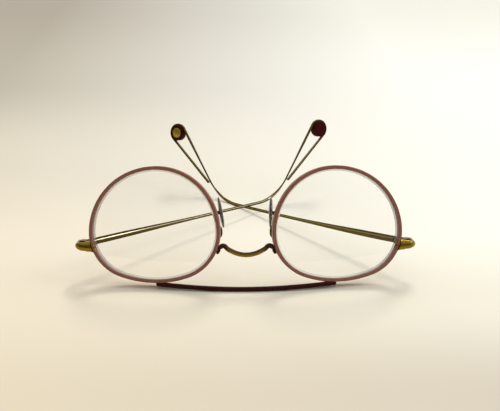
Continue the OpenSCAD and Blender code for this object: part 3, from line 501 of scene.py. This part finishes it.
def off_rims(point):
    """The same for both sides, against the brow edges of the rims."""
    side = -1 if point.x < 0 else 1
    p = MIRROR[side] @ point
    p = clear_of(p, in_brow_crown, high=crown_x)
    p = clear_of(p, out_brow_crown, low=crown_x)
    return MIRROR[side] @ p


bar_line = []
for i in range(-BAR_STEPS, BAR_STEPS + 1):
    x = (crown_x - BAR_SHORT) * i / BAR_STEPS
    bar_line.append(Vector((x, BAR_BOW * (x / crown_x) ** 2, BAR_RISE * (x / crown_x) ** 2)))
round_bar = tube(bar_line, BAR_D / 2, sides=28, lean_on=Vector((0, 0, 1)))
rings = [[off_rims(p) for p in ring] for ring in round_bar]
unstand = stand.inverted()
for ring in rings:
    for j, p in enumerate(ring):
        q = stand @ p
        if q.z < 0:
            ring[j] = unstand @ Vector((q.x, q.y, 0))
bar = skin("brow_rod", rings, stand, "front", [dark_enamel])
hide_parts("brow_bar")

# Bridge: a saddle of round wire between the rims' nose sides, gold below and dark brown above, where a
# dark reflection is painted on. Its feet lie along the rims and are soldered there.
BRIDGE_D, SADDLE_H, SADDLE_OUT, SHOULDER_RISE, SHOULDER_X = 1.9, 13.5, 0.6, 3.55, 9.35
BRIDGE_SET, FOOT_L, LEG_THIN, LEG_FROM, LEG_FADE = 1.3, 2.45, 0.35, 0.2, 1.2
DARK_TOP_FROM, DARK_TOP_FULL, ENDS_FROM, ENDS_FULL = 0.62, 0.76, 0.0062, 0.008

# Half of the saddle, as shares of its reach outwards, forwards and up, and one foot, as shares of
# the way down and of how far the wire is sunk into the rim's side.
SADDLE_KNOTS = [(0, 1, 0), (0.4, 0.8, 0.17), (0.75, 0.4, 0.6), (0.89, 0.15, 0.93), (1, 0, 1)]
FOOT_KNOTS = [(0.4, 0.26), (0.72, 0.1), (1, 0.16)]


def coat_over_gold(tree, where, enamel, enamel_gloss, gold, gold_rough):
    """A coat over plated metal where the mask is 1, with the same peel over both. It is the blocks' enamel
    and the bridge's painted dark reflection and dark shoulders.
    """
    cloud, peel = grain(tree, *ENAMEL_GRIT)
    coat = grained(tree, cloud, peel, enamel, enamel_gloss)
    plate = grained(tree, cloud, peel, gold, {"Metallic": 1.0, "Roughness": gold_rough})
    mix = add(tree, "ShaderNodeMixShader", {}, {0: where, 1: plate, 2: coat})
    add(tree, "ShaderNodeOutputMaterial", links={"Surface": mix.outputs["Shader"]})


# The plate gleams along the saddle's lower side. The upper side is painted dark brown as a painted
# reflection, and past the shoulders the wire is dark brown too, glossy.
bridge_gold_and_painted_dark_top, tree = new_material("gold_wire_with_painted_dark_top")
at = add(tree, "ShaderNodeTexCoord")
facing = add(tree, "ShaderNodeSeparateXYZ", links={"Vector": at.outputs["Normal"]})
axes = add(tree, "ShaderNodeSeparateXYZ", links={"Vector": at.outputs["Object"]})
aside = add(tree, "ShaderNodeMath", {}, {0: axes.outputs["X"]}, operation="ABSOLUTE")
# Upward-facing wire takes the painted dark reflection.
upper = add(tree, "ShaderNodeMapRange", {"From Min": DARK_TOP_FROM, "From Max": DARK_TOP_FULL},
            {"Value": facing.outputs["Z"]})
ends = add(tree, "ShaderNodeMapRange", {"From Min": ENDS_FROM, "From Max": ENDS_FULL},
           {"Value": aside.outputs[0]})
where = add(tree, "ShaderNodeMath", {}, {0: upper.outputs["Result"], 1: ends.outputs["Result"]},
            operation="MAXIMUM")
coat_over_gold(tree, where.outputs[0], ("#2C0E06", "#3E180C"),
               {"Roughness": 0.34, "Specular IOR Level": 0.2}, ("#846722", "#99792C"), 0.34)


def rim_side_x(h):
    """How far out the rim's nose side lies at a height."""
    (cx, cy), r = in_brow
    return cx - math.sqrt(r ** 2 - (h - cy) ** 2)


def foot(h, off):
    """A place beside the rim's nose side, this far off it."""
    x = rim_side_x(h)
    return Vector((x * cos(WRAP) - off, face_y + x * sin(WRAP) + BRIDGE_SET, h))


def ease(u):
    """A rise from 0 to 1 without corners, as u goes from 0 to 1."""
    v = min(1, max(0, u))
    return v * v * (3 - 2 * v)


def smooth(knots, steps):
    """A smooth line that passes through its knots."""
    line, last = [], len(knots) - 1
    for i in range(last):
        a, b, c, d = (knots[max(0, min(last, i + k))] for k in (-1, 0, 1, 2))
        for s in range(steps):
            u = s / steps
            line.append(0.5 * (2 * b + u * (c - a) + u * u * (2 * a - 5 * b + 4 * c - d)
                               + u ** 3 * (3 * (b - c) + d - a)))
    return line + [knots[-1]]


shoulder_h, bridge_r = SADDLE_H + SHOULDER_RISE, BRIDGE_D / 2
half_bridge = []
for x, y, z in SADDLE_KNOTS:
    h = SADDLE_H + SHOULDER_RISE * z
    half_bridge.append(Vector((SHOULDER_X * x, foot(h, 0).y - SADDLE_OUT * y, h)))
for down, sunk in FOOT_KNOTS:
    half_bridge.append(foot(shoulder_h - FOOT_L * down, bridge_r * (1 - sunk)))
knots = [MIRROR[-1] @ p for p in reversed(half_bridge[1:])] + half_bridge

# Below the shoulders the legs are drawn slimmer.
rings = []
for ring in tube(smooth(knots, steps=14), bridge_r, sides=28, lean_on=Vector((0, 1, 0))):
    side = -1 if ring[0].x < 0 else 1
    middle = sum(ring, Vector()) / len(ring)
    leg = ease((shoulder_h - LEG_FROM - middle.z) / LEG_FADE) if abs(middle.x) > SHOULDER_X else 0
    slim = [middle + (p - middle) * (1 - LEG_THIN * leg) for p in ring]
    rings.append([MIRROR[side] @ clear_of(MIRROR[side] @ p, in_brow) for p in slim])
bridge = skin("saddle_wire", rings, stand, "front", [bridge_gold_and_painted_dark_top])
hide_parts("bridge")

# End pieces: stamped straps of gold-plated nickel silver that turn the corner from the closing
# block to the hinge. The outer corner is tumbled round and satin.
END_REACH, STRAP_T, CORNER_R, STRAP_PROUD = 5.5, 1.34, 3.1, 0.2
STRAP_CROWN, STRAP_DEEP, STRAP_EDGE = 0.35, 0.6, 0.3
STRAP_H, STRAP_BOW_H, STRAP_WAIST_H, STRAP_END_H, BOW_FROM, BOW_TO = 4.2, 3.4, 2.5, 2.9, 0.3, 0.55
EAR_W, HINGE_BACK, HINGE_UP, BARREL_D, BARREL_GAP = 2.4, 0.69, 0.9, 2.4, 0.06
LEG_STEPS, BOW_STEPS, END_STEPS = 12, 18, 10

# Gold plate over a tumbled base: satin, so its highlights are long and soft.
satin_gold = finish("satin_gold_plate", ("#7E681A", "#92792A"), (0.25, 0.35, 0.008),
                    {"Metallic": 1.0, "Roughness": 0.27}, spread=(0.25, 0.75))

end_x = rim_out * cos(WRAP) + END_REACH
leg_x, bow_r, bow_turn = end_x - STRAP_T / 2, CORNER_R - STRAP_T / 2, 90 - WRAP
start = plane(brow_side_x + brow_side_r * cos(lock_from) - RIM_FACE / 2, 0, STRAP_T / 2 - STRAP_PROUD)
front_end_x = leg_x - bow_r * (1 - cos(bow_turn))
front_end_y = start.y + (front_end_x - start.x) * math.tan(math.radians(WRAP))
bow_x, bow_y = leg_x - bow_r, front_end_y + bow_r * cos(WRAP)
ear_x = brow_side_x + brow_side_r * cos(lock_to) + EAR_W
hinge_y = plane(ear_x, 0, RIM_DEPTH).y + HINGE_BACK + BARREL_D / 2
hinge_h = lock_mid + HINGE_UP


def between(a, b, u):
    """The share u of the way from a to b."""
    return a + (b - a) * u


def strap_ring(x, y, nx, ny, share, tall):
    """A ring of the strap, flat inside and crowned outside, a share of the way up to the hinge."""
    t, z, deep = STRAP_T / 2, tall / 2, STRAP_T * STRAP_DEEP
    section = [(-t, -z + STRAP_EDGE), (-t + STRAP_EDGE, -z)]
    section += [(t - deep + (deep + STRAP_CROWN) * cos(a), z * sin(a)) for a in range(-90, 91, 10)]
    section += [(-t + STRAP_EDGE, z), (-t, z - STRAP_EDGE)]
    return [Vector((x + a * nx, y + a * ny, lock_mid + HINGE_UP * share + b)) for a, b in section]


# First the leg along the front, then the bow round the corner, then the end that goes back to the
# hinge.
rings = []
for i in range(LEG_STEPS + 1):
    u, a = i / LEG_STEPS, WRAP - 90
    x, y = between(start.x, bow_x + bow_r * cos(a), u), between(start.y, bow_y + bow_r * sin(a), u)
    tall = between(STRAP_H, STRAP_BOW_H, ease(u))
    rings.append(strap_ring(x, y, sin(WRAP), -cos(WRAP), BOW_FROM * u, tall))
for i in range(1, BOW_STEPS + 1):
    u = i / BOW_STEPS
    a = WRAP - 90 + bow_turn * u
    tall = between(STRAP_BOW_H, STRAP_WAIST_H, ease(u))
    rings.append(strap_ring(bow_x + bow_r * cos(a), bow_y + bow_r * sin(a), cos(a), sin(a),
                            between(BOW_FROM, BOW_TO, u), tall))
for i in range(1, END_STEPS + 1):
    u = i / END_STEPS
    tall = between(STRAP_WAIST_H, STRAP_END_H, ease(u))
    y = between(bow_y, hinge_y + BARREL_D / 2, u)
    rings.append(strap_ring(leg_x, y, 1, 0, between(BOW_TO, 1, u), tall))
rings = [[clear_of(p, out_brow) for p in ring] for ring in rings]
for name, side in SIDES.items():
    strap = skin(f"corner_strap_{name}", rings, stand @ MIRROR[side], "front", [satin_gold])
    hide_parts(f"end_piece_{name}")

# Closing blocks and hinges: small milled and turned pieces of the same gold plate, with slotted
# screws. The blocks' front faces carry the rims' enamel. They keep the shapes of the solids.
FRONT_FROM, FRONT_FULL = 0.8, 0.9

# The blocks' plate shows bright at their sides, round the enamelled front.
enamelled_block, tree = new_material("gold_block_with_rose_enamel")
at = add(tree, "ShaderNodeTexCoord")
front = add(tree, "ShaderNodeVectorMath", {1: (0, -cos(LEAN), sin(LEAN))}, {0: at.outputs["Normal"]},
            operation="DOT_PRODUCT")
face = add(tree, "ShaderNodeMapRange", {"From Min": FRONT_FROM, "From Max": FRONT_FULL},
           {"Value": front.outputs["Value"]})
coat_over_gold(tree, face.outputs["Result"], ROSE, ENAMEL_GLOSS, ("#8C7028", "#A4863A"), 0.3)

# The gold plate again, darker, brown and dull as painted shade: the hinge's knuckles, the temple's leaf
# and the pad arms.
gold_plate_with_painted_shade = finish("gold_plate_darkened_as_painted_shade", ("#54420F", "#6C571E"), (0.2, 0.3, 0.006),
                    {"Metallic": 1.0, "Roughness": 0.36})

# Turned on a lathe and plated: the screws catch small bright points.
screw_gold = finish("turned_gold_screw", ("#97793A", "#B4964F"), (0.12, 0.3, 0.005),
                    {"Metallic": 1.0, "Roughness": 0.26})


def dress(node, material):
    """Gives a solid of the frame its finish."""
    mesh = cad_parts[node].data
    mesh.materials.clear()
    mesh.materials.append(material)


for name in SIDES:
    for part in ("lock_brow", "lock_cheek"):
        dress(f"{part}_{name}", enamelled_block)
    for part in ("hinge", "temple_joint"):
        dress(f"{part}_{name}", gold_plate_with_painted_shade)
    for part in ("lock_screw", "hinge_screw", "pad_screw"):
        dress(f"{part}_{name}", screw_gold)

# Temples: ribbons of bronzed spring steel on edge, riveted to the hinge leaf. Each has a bevel
# rolled along the upper edge of its inner face, narrows to the ear, bends up behind it, turns a
# quarter and loops round its drum.
TEMPLE_L, BEND_R, BEND, HOOK_L, LOOP_R, RETURN_L, TIP_GAP = 94.7, 22.6, 53.2, 30.2, 4.2, 30.3, 0.2
RIBBON_ROOT, RIBBON_BEND, RIBBON_END, RIBBON_T, RIBBON_EDGE = 2.7, 1.3, 1.4, 0.7, 0.1
BEVEL_DEPTH, LIP_SHARE, BEVEL_SHARE = 0.25, 0.3, 0.11
ROOT_GAP, TAPER_FROM, TAPER_L, TWIST_FROM, LAY_TURN, HOOK_TURN = 0.2, 12, 50, 5, 50, 11
STRAIGHT_STEPS, BEND_STEPS, FADE_STEPS, HOOK_STEPS, LOOP_STEPS, RETURN_STEPS = 60, 48, 30, 24, 64, 20
CORNER_STEPS = 3

# The hinge pins lean by DROP. FOLD is each temple's angle from the line of the front, and SAG how
# far the lower ribbon bows down in its middle.
DROP, LIFT = 10.7, 0.6255066
FOLD = {"left": 40.5, "right": 44.4}
SAG = {"left": 0.0, "right": 0.6}

# Rolled and bronzed in a bath: dark olive gold, with a soft shine along the ribbon.
bronzed_steel = finish("bronzed_spring_steel", ("#4C3D06", "#605010"), (0.3, 0.3, 0.006),
                       {"Metallic": 1.0, "Roughness": 0.3}, spread=(0.25, 0.75))

# Each bevel carries a painted highlight, lighter than the bronze; the upper temple's is painted brighter
# than the lower one's, as lit and shaded copies.
painted_bevel_highlights = {}
for name, tints, rough in (("left", ("#DCD2AA", "#EEE6C6"), 0.2), ("right", ("#8E7A34", "#A39048"), 0.28)):
    painted_bevel_highlights[name] = finish(f"bevel_painted_highlight_{name}", tints, (0.3, 0.2, 0.004),
                          {"Metallic": 1.0, "Roughness": rough}, spread=(0.25, 0.75))

# The rivets' heads are left to oxidise: nearly black and half matt.
dark_rivet = finish("oxidised_rivet", ("#1C150E", "#2C2218"), (0.1, 0.3, 0.004),
                    {"Metallic": 0.6, "Roughness": 0.45})

pin_x = end_x - STRAP_T - BARREL_GAP - BARREL_D / 2
root_s = BARREL_D / 2 + ROOT_GAP
straight_l = TEMPLE_L - root_s
lay_half = (RIBBON_BEND * cos(LAY_TURN + HOOK_TURN) + RIBBON_T * sin(LAY_TURN + HOOK_TURN)) / 2
loop_gap = LOOP_R - RIBBON_T / 2 - lay_half - TIP_GAP
closing = math.degrees(math.atan2(LOOP_R, RETURN_L) + math.asin(loop_gap / math.hypot(LOOP_R, RETURN_L)))
bend_end = Vector((TEMPLE_L + BEND_R * sin(BEND), BEND_R * (1 - cos(BEND))))
hook_end = bend_end + HOOK_L * Vector((cos(BEND), sin(BEND)))
drum_c = hook_end + LOOP_R * Vector((sin(BEND), -cos(BEND)))
loop_end_turn = BEND - 180 - closing
loop_end = drum_c + LOOP_R * Vector((-sin(loop_end_turn), cos(loop_end_turn)))
tip_end = loop_end + RETURN_L * Vector((cos(loop_end_turn), sin(loop_end_turn)))
bend_l = BEND_R * math.radians(BEND)
loop_l = LOOP_R * math.radians(180 + closing)
rest_l = bend_l + HOOK_L + loop_l + RETURN_L


def ribbon_stations(sag):
    """Places along the ribbon: along, up, heading, twist, width, bevel, turned about the hook. The
    stretches are the straight, the ear bend, the hook, the loop and the returned end."""
    stations = []

    def width(l):
        return between(RIBBON_BEND, RIBBON_END, l / rest_l)

    def twist(l):
        return (LAY_TURN * ease((l - TWIST_FROM) / (bend_l - TWIST_FROM))
                + (90 - HOOK_TURN - LAY_TURN) * ease((l - bend_l) / HOOK_L))

    for i in range(STRAIGHT_STEPS + 1):
        s = root_s + straight_l * i / STRAIGHT_STEPS
        dip = 4 * sag * (s - root_s) * (TEMPLE_L - s) / straight_l ** 2
        slope = math.degrees(math.atan(4 * sag * (2 * s - root_s - TEMPLE_L) / straight_l ** 2))
        wide = between(RIBBON_ROOT, RIBBON_BEND, ease((s - TAPER_FROM) / TAPER_L))
        stations.append((s, -dip, slope, 0, wide, 1, False))
    for i in range(1, BEND_STEPS + 1):
        a = BEND * i / BEND_STEPS
        l = BEND_R * math.radians(a)
        stations.append((TEMPLE_L + BEND_R * sin(a), BEND_R * (1 - cos(a)), a, twist(l), width(l),
                         1 - ease(i / FADE_STEPS), False))
    for i in range(1, HOOK_STEPS):
        p = between(bend_end, hook_end, i / HOOK_STEPS)
        l = bend_l + HOOK_L * i / HOOK_STEPS
        stations.append((p.x, p.y, BEND, twist(l), width(l), 0, False))
    for i in range(LOOP_STEPS + 1):
        a = BEND - (180 + closing) * i / LOOP_STEPS
        l = bend_l + HOOK_L + LOOP_R * math.radians(BEND - a)
        stations.append((drum_c.x - LOOP_R * sin(a), drum_c.y + LOOP_R * cos(a), a, 90, width(l), 0, True))
    for i in range(1, RETURN_STEPS + 1):
        p = between(loop_end, tip_end, i / RETURN_STEPS)
        l = rest_l - RETURN_L * (1 - i / RETURN_STEPS)
        stations.append((p.x, p.y, loop_end_turn, 90, width(l), 0, True))
    return stations


# From the loop on, the ribbon is turned a little about the hook's own line.
to_bend = Matrix.Translation((bend_end.x, 0, bend_end.y))
hook_line = Vector((cos(BEND), 0, sin(BEND)))
hook_spin = to_bend @ Matrix.Rotation(math.radians(HOOK_TURN), 4, hook_line) @ to_bend.inverted()


def ribbon_ring(station):
    """The ribbon's section at a station: four rounded corners, then the bevel's foot and lip."""
    s, up, heading, twist, wide, bevel, turned = station
    n, y = Vector((-sin(heading), 0, cos(heading))), Vector((0, 1, 0))
    w_axis, t_axis = cos(twist) * n + sin(twist) * y, cos(twist) * y - sin(twist) * n
    w, t, deep = wide / 2, RIBBON_T / 2, BEVEL_DEPTH * bevel
    lip, bevel_foot = w - LIP_SHARE * wide, w - (LIP_SHARE + BEVEL_SHARE) * wide
    corners = rounded([
        (w, t - deep, RIBBON_EDGE), (w, -t, RIBBON_EDGE), (-w, -t, RIBBON_EDGE), (-w, t, RIBBON_EDGE),
        (bevel_foot, t, 0), (lip, t - deep, 0)], CORNER_STEPS)
    ring = [Vector((s, 0, up)) + q.x * w_axis + q.y * t_axis for q in corners]
    return [hook_spin @ p for p in ring] if turned else ring


# The strip from the bevel's foot to its lip carries the painted highlight.
ribbon_paint = [0] * (4 * (CORNER_STEPS + 1)) + [1, 0]

to_hinge = Matrix.Translation((pin_x, hinge_y, hinge_h))
temple_place = {}
for name, side in SIDES.items():
    temple_place[name] = (stand @ MIRROR[side] @ to_hinge @ turn("X", DROP) @ turn("Z", 180 - FOLD[name])
                          @ turn("Y", side * LIFT))
    rings = [ribbon_ring(s) for s in ribbon_stations(SAG[name])]
    ribbon = skin(f"ribbon_{name}", rings, temple_place[name], f"temple_{name}",
                  [bronzed_steel, painted_bevel_highlights[name]], ribbon_paint, sharp=25)
    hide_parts(f"temple_{name}")
    dress(f"rivet_{name}", dark_rivet)

# Tips: a lacquered drum in each loop, with a dull gold medallion let into one face. They are
# turned and pressed in.
DRUM_W, DRUM_GAP, MEDAL_D, MEDAL_SEAT, SEAT_GAP, CORE_R = 3.0, 0.02, 5.1, 0.5, 0.02, 0.05
BACK_FLAT, FACE_FLAT, SEAT_LIP_W, SEAT_LIP_H = 0.5, 0.4, 0.08, 0.06

# How far in from the drum's side and down from its face the rounded edge goes, and how far in from
# the medallion's side and up from the drum's face its sunk border and raised middle go.
DRUM_EDGE = [(0.18, 0.02), (0.05, 0.09), (0, 0.18)]
MEDAL_BORDER = [(0, -0.13), (0.08, -0.05), (0.4, -0.05), (0.5, 0.04), (0.62, 0.1)]

# Lacquer sprayed on and left unpolished: a red near black, with hardly any reflection.
burgundy_lacquer = finish("burgundy_lacquer", ("#300302", "#440605"), (0.8, 0.2, 0.01),
                          {"Roughness": 0.5, "Specular IOR Level": 0.05})

# Coined in a press and not polished: dull, with a coarse soft gleam.
dull_gold = finish("coined_dull_gold", ("#A08A34", "#B49E48"), (0.3, 0.4, 0.01),
                   {"Metallic": 1.0, "Roughness": 0.42})


def lathe(profile, sides):
    """Rings of a turned piece from its (radius, height) profile."""
    return [[Vector((r * cos(a), r * sin(a), z)) for a in circle(sides)] for r, z in profile]


drum_r, medal_r = LOOP_R - RIBBON_T / 2 - DRUM_GAP, MEDAL_D / 2
top, seat_r = DRUM_W / 2, medal_r + SEAT_GAP
drum_profile = [(CORE_R, -top), (drum_r - BACK_FLAT, -top)]
drum_profile += [(drum_r - inset, down - top) for inset, down in DRUM_EDGE]
drum_profile += [(drum_r - inset, top - down) for inset, down in reversed(DRUM_EDGE)]
drum_profile += [(drum_r - FACE_FLAT, top), (seat_r + SEAT_LIP_W, top), (seat_r, top - SEAT_LIP_H),
                 (seat_r, top - MEDAL_SEAT), (CORE_R, top - MEDAL_SEAT)]
medal_profile = [(CORE_R, 0), (medal_r, 0)]
medal_profile += [(medal_r - inset, MEDAL_SEAT + up) for inset, up in MEDAL_BORDER]
medal_profile += [(CORE_R, medal_profile[-1][1])]
to_drum = Matrix.Translation((drum_c.x, 0, drum_c.y))
for name, side in SIDES.items():
    here = temple_place[name] @ hook_spin @ to_drum @ turn("X", -90 * side)
    drum = skin(f"tip_drum_{name}", lathe(drum_profile, sides=64), here, f"temple_{name}",
                [burgundy_lacquer], sharp=30)
    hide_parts(f"drum_{name}")
    seat = here @ Matrix.Translation((0, 0, top - MEDAL_SEAT))
    medal = skin(f"tip_medallion_{name}", lathe(medal_profile, sides=64), seat, f"temple_{name}",
                 [dull_gold], sharp=30)
    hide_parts(f"medallion_{name}")

# Nose pads: a gold wire arm from each rim's back, a black fork and a clear silicone pad on a
# black core, which rocks on its screw.
PAD_IN, PAD_BACK, PAD_RISE, PAD_L, PAD_W, PAD_T = 1.3, 4.46, 7.3, 12.5, 6.8, 1.6
PAD_SPLAY, PAD_LEAN, PAD_OFF, PAD_FULL, PAD_ROWS, PAD_SIDES = 5, 5.6, 0.85, 0.8, 32, 40
ARM_D, ARM_DROP = 1.0, 2.3

# How far each pad has rocked on its screw as the frame lies.
ROCK = {"left": 4.2, "right": -4.2}

# The arm's places outwards, back and up: first from its root on the rim, then from the pad's screw.
ARM_FROM_RIM = [(0.75, -0.3, 0), (0.5, 0.7, 0.05), (-0.25, 1.6, 0.6), (-0.6, 1.75, 1.5)]
ARM_TO_FORK = [(-1.7, -3, -6.2), (-0.85, -3, -4.7), (0.35, -1.9, -3), (0.8, -0.7, -2), (0.95, -0.1, -1.4)]

# Moulded nylon takes the mould's fine grain: black, with a low even sheen.
black_nylon = finish("moulded_black_nylon", ("#0C0806", "#16100D"), (0.15, 0.3, 0.006),
                     {"Roughness": 0.4, "Specular IOR Level": 0.2})

# Silicone from a polished mould: smooth and wet-looking, clear with a little warm haze.
clear_silicone = finish("moulded_clear_silicone", ("#A3998F", "#B5ABA1"), (0.4, 0.2, 0.01), {
    "Transmission Weight": 0.75, "Roughness": 0.1, "IOR": 1.41, "Specular IOR Level": 0.4})


def nose_back(x):
    """The depth of the rims' back at a place across."""
    return plane(x, 0, RIM_DEPTH).y


pad_x, pad_y, pad_h = NOSE_GAP / 2 + PAD_IN, nose_back(rim_in) + PAD_BACK, waist + PAD_RISE
arm_root = waist - ARM_DROP
arm_x = rim_side_x(arm_root) * cos(WRAP)
arm_knots = [Vector((arm_x + x, nose_back(arm_x + x) + y, arm_root + z)) for x, y, z in ARM_FROM_RIM]
arm_knots += [Vector((pad_x + x, pad_y + y, pad_h + z)) for x, y, z in ARM_TO_FORK]
arm_rings = tube(smooth(arm_knots, steps=12), ARM_D / 2, sides=20, lean_on=Vector((0.3, 0.2, 0.9)))

pad_rings = []
for i in range(1, PAD_ROWS):
    a = -90 + 180 * i / PAD_ROWS
    thick, wide, z = PAD_T * cos(a) ** PAD_FULL / 2, PAD_W * cos(a) ** PAD_FULL / 2, PAD_L * sin(a) / 2
    back = -PAD_T / 2 - PAD_OFF
    pad_rings.append([Vector((back + thick * cos(b), wide * sin(b), z)) for b in circle(PAD_SIDES)])

for name, side in SIDES.items():
    arm = skin(f"pad_wire_{name}", arm_rings, stand @ MIRROR[side], "front", [gold_plate_with_painted_shade])
    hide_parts(f"pad_arm_{name}")
    here = (stand @ MIRROR[side] @ Matrix.Translation((pad_x, pad_y, pad_h)) @ turn("Z", -PAD_SPLAY)
            @ turn("Y", PAD_LEAN) @ turn("Y", ROCK[name]))
    pad = skin(f"silicone_pad_{name}", pad_rings, here, f"pad_{name}", [clear_silicone])
    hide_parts(f"nose_pad_{name}")
    for part in ("pad_fork", "pad_core"):
        dress(f"{part}_{name}", black_nylon)
